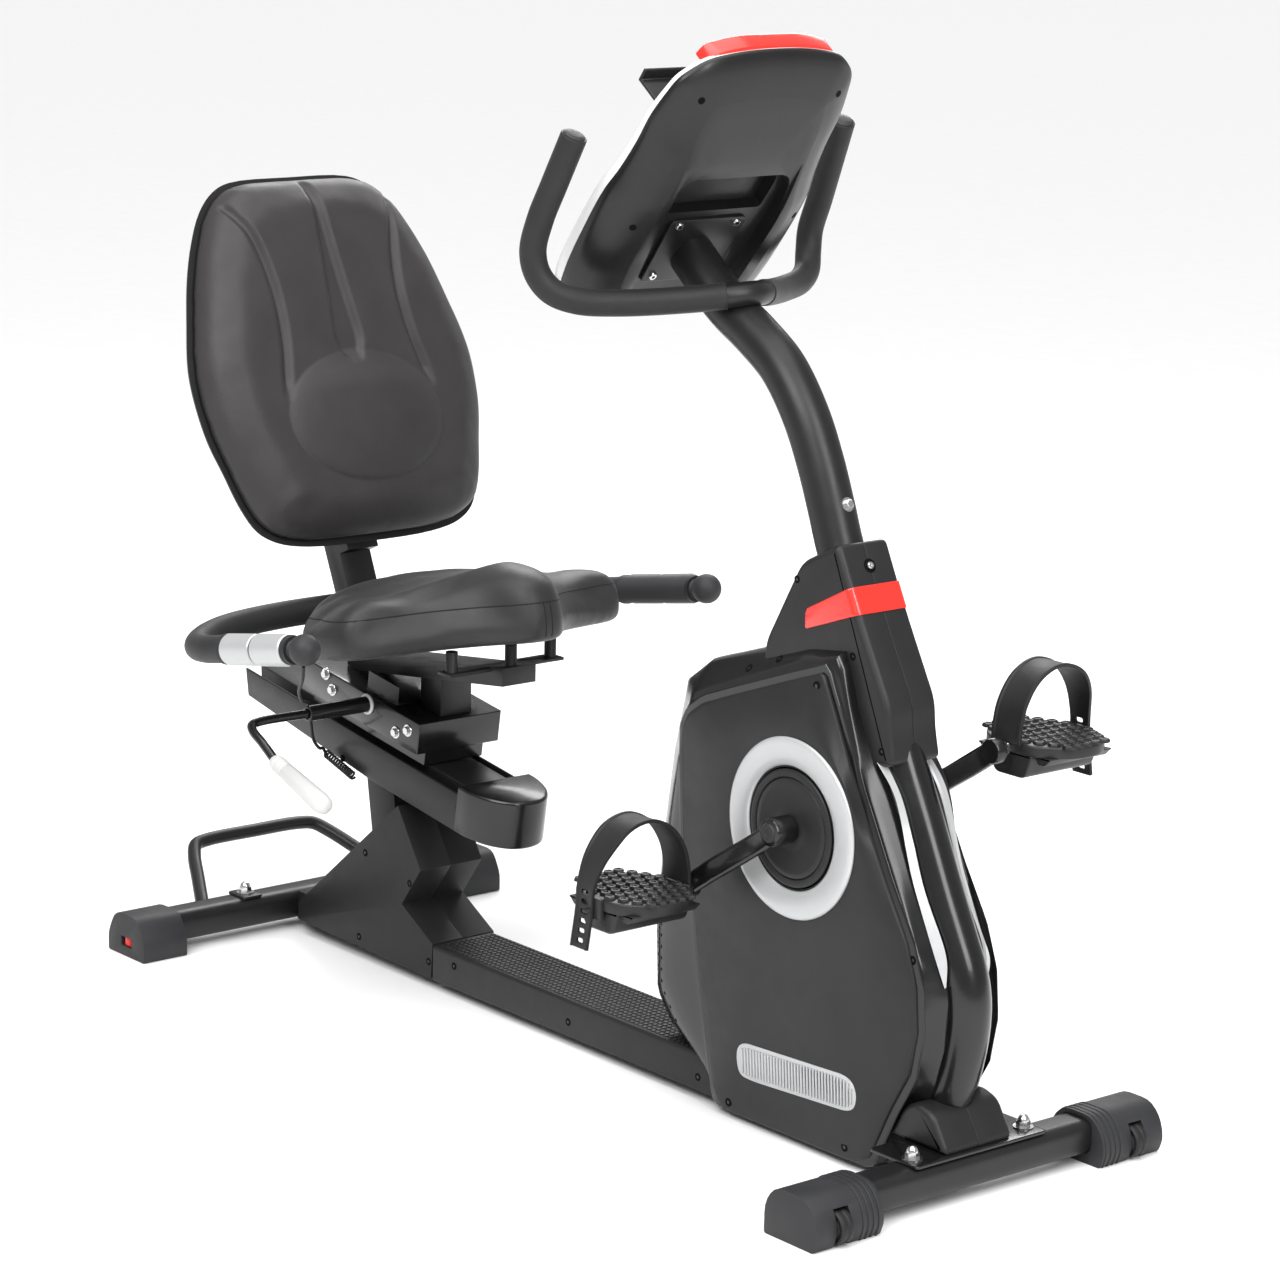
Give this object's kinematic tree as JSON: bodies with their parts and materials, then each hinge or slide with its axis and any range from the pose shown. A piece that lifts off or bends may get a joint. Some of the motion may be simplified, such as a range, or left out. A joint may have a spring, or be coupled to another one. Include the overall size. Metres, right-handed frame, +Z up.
{
  "type": "recumbent exercise bike",
  "caption": "Recumbent exercise bike with a sliding padded seat and back rest on a sloped rail, strapped pedals on a housed flywheel drive, and a console on a curved mast.",
  "frame": {"origin": "on the floor, under the middle of the bounding box", "axes": "+X forward from the seat to the pedals, +Y to the rider's left, +Z up"},
  "size_m": [1.5262, 0.691, 1.2894],
  "materials": {
    "frame_paint": "satin black powder coat",
    "gloss_paint": "semi-gloss black paint",
    "housing_plastic": "gloss black moulded plastic",
    "panel_plastic": "fine-grained charcoal moulded plastic",
    "cap_plastic": "dark grey textured plastic",
    "console_plastic": "satin black moulded plastic",
    "console_white": "glossy white plastic",
    "button_plastic": "soft grey keycaps",
    "trim_red": "glossy red plastic",
    "trim_silver": "silver painted plastic",
    "grip_foam": "black closed-cell foam",
    "black_rubber": "moulded black rubber",
    "pedal_plastic": "moulded black plastic",
    "machined_steel": "turned steel",
    "flywheel_iron": "machined cast iron",
    "seat_vinyl": "stitched dark vinyl",
    "lever_plastic": "off-white moulded grip"
  },
  "bodies": {
    "frame": {"front_stabilizer": "frame_paint", "rear_stabilizer": "frame_paint", "transport_handle": "frame_paint", "main_rail": "frame_paint", "seat_rail": "frame_paint", "mast": "frame_paint", "handlebar": "frame_paint", "front_main_tube": "gloss_paint", "housing_shell_right": "housing_plastic", "housing_shell_left": "housing_plastic", "seat_rail_nose_cap": "housing_plastic", "side_panel_right": "panel_plastic", "side_panel_left": "panel_plastic", "upper_shroud_right": "panel_plastic", "upper_shroud_left": "panel_plastic", "front_foot_cover": "panel_plastic", "tread_cover": "panel_plastic", "rear_base_shell_right": "panel_plastic", "rear_base_shell_left": "panel_plastic", "front_cap_right": "cap_plastic", "front_cap_left": "cap_plastic", "rear_cap_right": "cap_plastic", "rear_cap_left": "cap_plastic", "console_back_shell": "console_plastic", "reading_rack": "console_plastic", "console_bezel": "console_white", "shroud_stripe": "trim_red", "ring_trim_right": "trim_silver", "ring_trim_left": "trim_silver", "handlebar_grip_right": "grip_foam", "handlebar_grip_left": "grip_foam", "drive_belt": "black_rubber"},
    "crank": {"crank_axle": "machined_steel", "crank_disc_right": "panel_plastic", "crank_disc_left": "panel_plastic", "crank_arm_right": "gloss_paint", "crank_arm_left": "gloss_paint"},
    "flywheel_body": {"flywheel": "flywheel_iron"},
    "pedal_right_body": {"pedal_right": "pedal_plastic", "pedal_strap_right": "black_rubber"},
    "pedal_left_body": {"pedal_left": "pedal_plastic", "pedal_strap_left": "black_rubber"},
    "seat": {"seat_carriage": "gloss_paint", "seat_frame": "frame_paint", "seat_back_shell": "panel_plastic", "seat_back_pad": "seat_vinyl", "seat_pad": "seat_vinyl", "seat_handle": "grip_foam", "seat_grip_right": "grip_foam", "seat_grip_left": "grip_foam", "pulse_lead": "black_rubber"},
    "seat_lever": {"lever_rod": "gloss_paint", "lever_grip": "lever_plastic"},
    "wheel_right": {"transport_wheel_right": "black_rubber"},
    "wheel_left": {"transport_wheel_left": "black_rubber"},
    "leveller_right": {"rear_leveller_right": "trim_red"},
    "leveller_left": {"rear_leveller_left": "trim_red"},
    "button_1": {"console_button_1": "button_plastic"},
    "button_2": {"console_button_2": "button_plastic"},
    "button_3": {"console_button_3": "button_plastic"}
  },
  "joints": [
    {"name": "crank_spin", "type": "hinge", "parent": "frame", "child": "crank", "pos_m": [0.4751, 0, 0.39], "axis": [0, 1, 0], "continuous": true},
    {"name": "flywheel_spin", "type": "hinge", "parent": "frame", "child": "flywheel_body", "pos_m": [0.4801, 0, 0.165], "axis": [0, 1, 0], "continuous": true},
    {"name": "pedal_right_spin", "type": "hinge", "parent": "crank", "child": "pedal_right_body", "pos_m": [0.34388, -0.2015, 0.29846], "axis": [0, 1, 0], "continuous": true},
    {"name": "pedal_left_spin", "type": "hinge", "parent": "crank", "child": "pedal_left_body", "pos_m": [0.60632, 0.2015, 0.48154], "axis": [0, 1, 0], "continuous": true},
    {"name": "seat_slide", "type": "slide", "parent": "frame", "child": "seat", "axis": [0.989, 0, -0.1478], "range_m": [-0.12, 0.06]},
    {"name": "seat_lever_pull", "type": "hinge", "parent": "seat", "child": "seat_lever", "pos_m": [-0.3809, -0.12, 0.366], "axis": [0, 1, 0], "range_deg": [-18, 0], "stiffness_Nm_per_rad": 2, "springref_deg": 8.59},
    {"name": "wheel_right_spin", "type": "hinge", "parent": "frame", "child": "wheel_right", "pos_m": [0.7431, -0.233, 0.0215], "axis": [0, 1, 0], "continuous": true},
    {"name": "wheel_left_spin", "type": "hinge", "parent": "frame", "child": "wheel_left", "pos_m": [0.7431, 0.233, 0.0215], "axis": [0, 1, 0], "continuous": true},
    {"name": "leveller_right_turn", "type": "hinge", "parent": "frame", "child": "leveller_right", "pos_m": [-0.6129, -0.279, 0.02], "axis": [0, 0, 1], "range_deg": [-180, 180]},
    {"name": "leveller_left_turn", "type": "hinge", "parent": "frame", "child": "leveller_left", "pos_m": [-0.6129, 0.279, 0.02], "axis": [0, 0, 1], "range_deg": [-180, 180]},
    {"name": "button_1_press", "type": "slide", "parent": "frame", "child": "button_1", "axis": [0.7986, 0, -0.6018], "range_m": [0, 0.0015], "stiffness_N_per_m": 400, "springref_m": -0.001},
    {"name": "button_2_press", "type": "slide", "parent": "frame", "child": "button_2", "axis": [0.7986, 0, -0.6018], "range_m": [0, 0.0015], "stiffness_N_per_m": 400, "springref_m": -0.001},
    {"name": "button_3_press", "type": "slide", "parent": "frame", "child": "button_3", "axis": [0.7986, 0, -0.6018], "range_m": [0, 0.0015], "stiffness_N_per_m": 400, "springref_m": -0.001}
  ],
  "couplings": [
    {"joint": "flywheel_spin", "follows": "crank_spin", "ratio": 5.9375}
  ]
}
